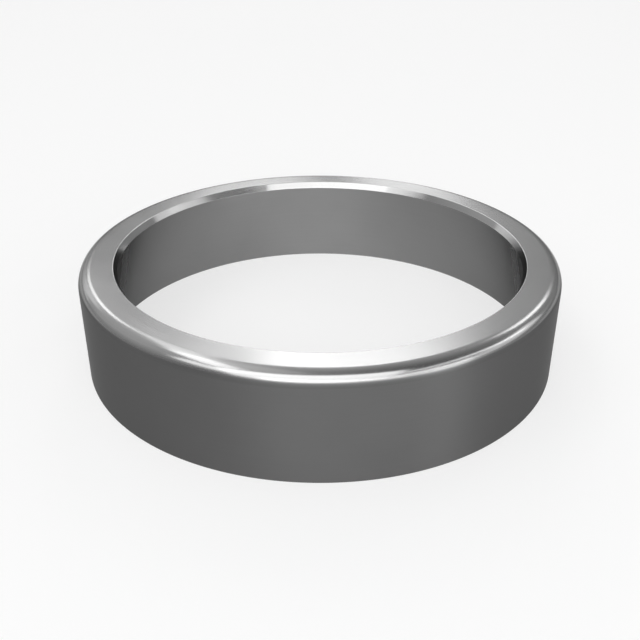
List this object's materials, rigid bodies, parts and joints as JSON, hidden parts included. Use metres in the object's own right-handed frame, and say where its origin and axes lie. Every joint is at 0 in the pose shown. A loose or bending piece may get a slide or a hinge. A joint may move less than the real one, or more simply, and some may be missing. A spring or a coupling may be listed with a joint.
{
  "type": "seamless rolled ring forging",
  "caption": "Seamless steel ring machined all over: plain cylindrical outside with a large rounded back corner, and a conical bore, wider at the thin end, under a steep lead-in chamfer.",
  "frame": {"origin": "centre of the thin end's flat face, on the ring's axis; the ring stands on this face", "axes": "+Z along the ring's axis, from the thin end up to the thick back face; +X and +Y are any two radii at right angles"},
  "size_m": [0.127, 0.127, 0.0279],
  "materials": {
    "steel": "bare bearing steel, finely turned and ground, satin with fine rings round the axis"
  },
  "bodies": {
    "root": {"ring": "steel"}
  },
  "joints": []
}
